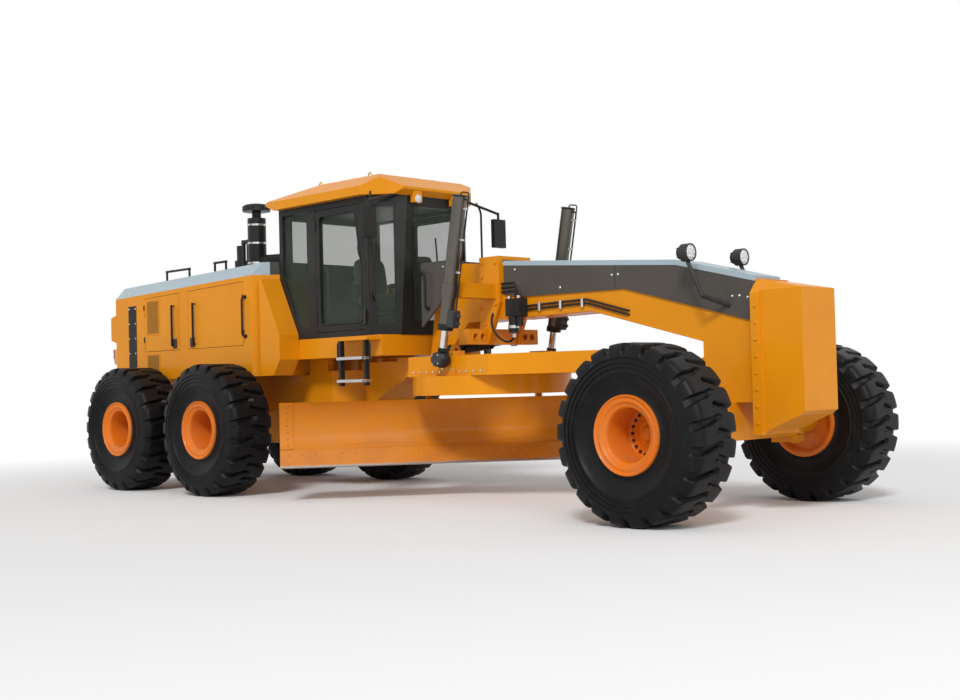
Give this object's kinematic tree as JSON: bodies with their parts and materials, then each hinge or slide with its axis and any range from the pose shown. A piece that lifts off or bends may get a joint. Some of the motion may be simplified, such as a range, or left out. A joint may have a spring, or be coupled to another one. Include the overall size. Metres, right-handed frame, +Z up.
{
  "type": "motor grader",
  "caption": "Articulated motor grader: long gooseneck frame with a turning blade under a circle, tandem rear wheels, glazed cab and engine hood.",
  "frame": {"origin": "on the ground under the middle of the overall length, on the centre line", "axes": "+X forward, +Y to the machine's left, +Z up"},
  "size_m": [10.72, 3.5481, 3.76],
  "materials": {
    "body_paint": "gloss",
    "rim_paint": "gloss",
    "black_paint": "satin",
    "light_grey": "satin",
    "dark_grey": "satin",
    "tyre": "matte",
    "glass": "gloss",
    "chrome": "gloss",
    "cast_iron": "matte",
    "worn_steel": "satin",
    "seat_fabric": "matte",
    "matte_plastic": "matte",
    "lamp_red": "gloss",
    "lamp_clear": "gloss"
  },
  "bodies": {
    "rear_frame": {"rear_frame": "body_paint", "tow_hitch": "black_paint", "rear_axle": "body_paint", "tandem_left": "body_paint", "tandem_right": "body_paint", "hood_shell": "body_paint", "hood_cover": "light_grey", "engine": "cast_iron", "rear_grille": "black_paint", "tail_lamps": "lamp_red", "intake_and_exhaust": "black_paint", "top_handrails": "black_paint", "cab_frame": "black_paint", "cab_glass": "glass", "cab_roof": "body_paint", "cab_base": "body_paint", "seat": "seat_fabric", "steering_console": "matte_plastic", "ladders": "black_paint", "mirrors": "black_paint"},
    "front_frame": {"front_frame": "body_paint", "frame_cover": "dark_grey", "side_panels": "dark_grey", "push_block": "body_paint", "front_axle": "body_paint", "saddle": "body_paint", "work_lamps": "lamp_clear", "hydraulic_filters": "black_paint"},
    "drawbar": {"drawbar": "body_paint"},
    "circle": {"circle": "body_paint"},
    "blade_bracket": {"blade_bracket": "body_paint"},
    "blade": {"moldboard": "body_paint", "cutting_edge": "worn_steel"},
    "shift_cylinder": {"shift_cylinder": "black_paint"},
    "knuckle_left": {"knuckle_left": "body_paint"},
    "cab_door_left": {"cab_door_left": "black_paint", "door_glass_left": "glass"},
    "hood_door_rear_left": {"hood_door_rear_left": "body_paint"},
    "hood_door_front_left": {"hood_door_front_left": "body_paint"},
    "lift_barrel_left": {"lift_barrel_left": "black_paint"},
    "lift_rod_left": {"lift_rod_left": "chrome"},
    "knuckle_right": {"knuckle_right": "body_paint"},
    "cab_door_right": {"cab_door_right": "black_paint", "door_glass_right": "glass"},
    "hood_door_rear_right": {"hood_door_rear_right": "body_paint"},
    "hood_door_front_right": {"hood_door_front_right": "body_paint"},
    "lift_barrel_right": {"lift_barrel_right": "black_paint"},
    "lift_rod_right": {"lift_rod_right": "chrome"},
    "wheel_front_left": {"tyre_front_left": "tyre", "rim_front_left": "rim_paint"},
    "wheel_front_right": {"tyre_front_right": "tyre", "rim_front_right": "rim_paint"},
    "wheel_mid_left": {"tyre_mid_left": "tyre", "rim_mid_left": "rim_paint"},
    "wheel_mid_right": {"tyre_mid_right": "tyre", "rim_mid_right": "rim_paint"},
    "wheel_rear_left": {"tyre_rear_left": "tyre", "rim_rear_left": "rim_paint"},
    "wheel_rear_right": {"tyre_rear_right": "tyre", "rim_rear_right": "rim_paint"}
  },
  "joints": [
    {"name": "articulation", "type": "hinge", "parent": "rear_frame", "child": "front_frame", "pos_m": [-0.86, 0, 1.265], "axis": [0, 0, 1], "range_deg": [-20, 20]},
    {"name": "steering_left", "type": "hinge", "parent": "front_frame", "child": "knuckle_left", "pos_m": [4.44, 1.05, 0.808], "axis": [0, 0, 1], "range_deg": [-40, 40]},
    {"name": "steering_right", "type": "hinge", "parent": "front_frame", "child": "knuckle_right", "pos_m": [4.44, -1.05, 0.808], "axis": [0, 0, 1], "range_deg": [-40, 40]},
    {"name": "wheel_front_left_spin", "type": "hinge", "parent": "knuckle_left", "child": "wheel_front_left", "pos_m": [4.44, 1.45, 0.808], "axis": [0, 1, 0], "continuous": true},
    {"name": "wheel_front_right_spin", "type": "hinge", "parent": "knuckle_right", "child": "wheel_front_right", "pos_m": [4.44, -1.45, 0.808], "axis": [0, 1, 0], "continuous": true},
    {"name": "wheel_mid_left_spin", "type": "hinge", "parent": "rear_frame", "child": "wheel_mid_left", "pos_m": [-2.16, 1.45, 0.808], "axis": [0, 1, 0], "continuous": true},
    {"name": "wheel_mid_right_spin", "type": "hinge", "parent": "rear_frame", "child": "wheel_mid_right", "pos_m": [-2.16, -1.45, 0.808], "axis": [0, 1, 0], "continuous": true},
    {"name": "wheel_rear_left_spin", "type": "hinge", "parent": "rear_frame", "child": "wheel_rear_left", "pos_m": [-4.08, 1.45, 0.808], "axis": [0, 1, 0], "continuous": true},
    {"name": "wheel_rear_right_spin", "type": "hinge", "parent": "rear_frame", "child": "wheel_rear_right", "pos_m": [-4.08, -1.45, 0.808], "axis": [0, 1, 0], "continuous": true},
    {"name": "drawbar_lift", "type": "hinge", "parent": "front_frame", "child": "drawbar", "pos_m": [4.05, 0, 1.35], "axis": [0, 1, 0], "range_deg": [-12, 1.5]},
    {"name": "circle_turn", "type": "hinge", "parent": "drawbar", "child": "circle", "pos_m": [1.19, 0, 1.27], "axis": [0, 0, 1], "range_deg": [-22.5, 97.5]},
    {"name": "blade_tip", "type": "hinge", "parent": "circle", "child": "blade_bracket", "pos_m": [0.67432, 0.3957, 0.64], "axis": [0.6088, 0.7934, 0], "range_deg": [-5, 40]},
    {"name": "blade_shift", "type": "slide", "parent": "blade_bracket", "child": "blade", "axis": [-0.6088, -0.7934, 0], "range_m": [-0.7, 0.5]},
    {"name": "shift_cylinder_swing", "type": "hinge", "parent": "drawbar", "child": "shift_cylinder", "pos_m": [1.145, -0.57, 1.66], "axis": [1, 0, 0], "range_deg": [-4, 30]},
    {"name": "lift_barrel_left_swing", "type": "hinge", "parent": "front_frame", "child": "lift_barrel_left", "pos_m": [1.445, 0.88, 2.3], "axis": [0, 1, 0], "range_deg": [-6, 1]},
    {"name": "lift_rod_left_slide", "type": "slide", "parent": "lift_barrel_left", "child": "lift_rod_left", "axis": [0.1923, 0, 0.9813], "range_m": [-0.58, 0.08]},
    {"name": "cab_door_left_hinge", "type": "hinge", "parent": "rear_frame", "child": "cab_door_left", "pos_m": [-0.944, 0.8, 2.68], "axis": [0, 0, 1], "range_deg": [0, 100]},
    {"name": "hood_door_rear_left_hinge", "type": "hinge", "parent": "rear_frame", "child": "hood_door_rear_left", "pos_m": [-4.344, 1.1, 2.2], "axis": [0, 0, 1], "range_deg": [0, 100]},
    {"name": "hood_door_front_left_hinge", "type": "hinge", "parent": "rear_frame", "child": "hood_door_front_left", "pos_m": [-2.036, 1.1, 2.2], "axis": [0, 0, -1], "range_deg": [0, 100]},
    {"name": "lift_barrel_right_swing", "type": "hinge", "parent": "front_frame", "child": "lift_barrel_right", "pos_m": [1.445, -0.88, 2.3], "axis": [0, 1, 0], "range_deg": [-6, 1]},
    {"name": "lift_rod_right_slide", "type": "slide", "parent": "lift_barrel_right", "child": "lift_rod_right", "axis": [0.1923, 0, 0.9813], "range_m": [-0.58, 0.08]},
    {"name": "cab_door_right_hinge", "type": "hinge", "parent": "rear_frame", "child": "cab_door_right", "pos_m": [-0.944, -0.8, 2.68], "axis": [0, 0, -1], "range_deg": [0, 100]},
    {"name": "hood_door_rear_right_hinge", "type": "hinge", "parent": "rear_frame", "child": "hood_door_rear_right", "pos_m": [-4.344, -1.1, 2.2], "axis": [0, 0, -1], "range_deg": [0, 100]},
    {"name": "hood_door_front_right_hinge", "type": "hinge", "parent": "rear_frame", "child": "hood_door_front_right", "pos_m": [-2.036, -1.1, 2.2], "axis": [0, 0, 1], "range_deg": [0, 100]}
  ],
  "couplings": [
    {"joint": "steering_right", "follows": "steering_left", "ratio": 1},
    {"joint": "shift_cylinder_swing", "follows": "drawbar_lift", "ratio": -2.4},
    {"joint": "lift_barrel_left_swing", "follows": "drawbar_lift", "ratio": 0.459},
    {"joint": "lift_rod_left_slide", "follows": "drawbar_lift", "m_per_rad": 2.713},
    {"joint": "lift_barrel_right_swing", "follows": "drawbar_lift", "ratio": 0.459},
    {"joint": "lift_rod_right_slide", "follows": "drawbar_lift", "m_per_rad": 2.713}
  ]
}
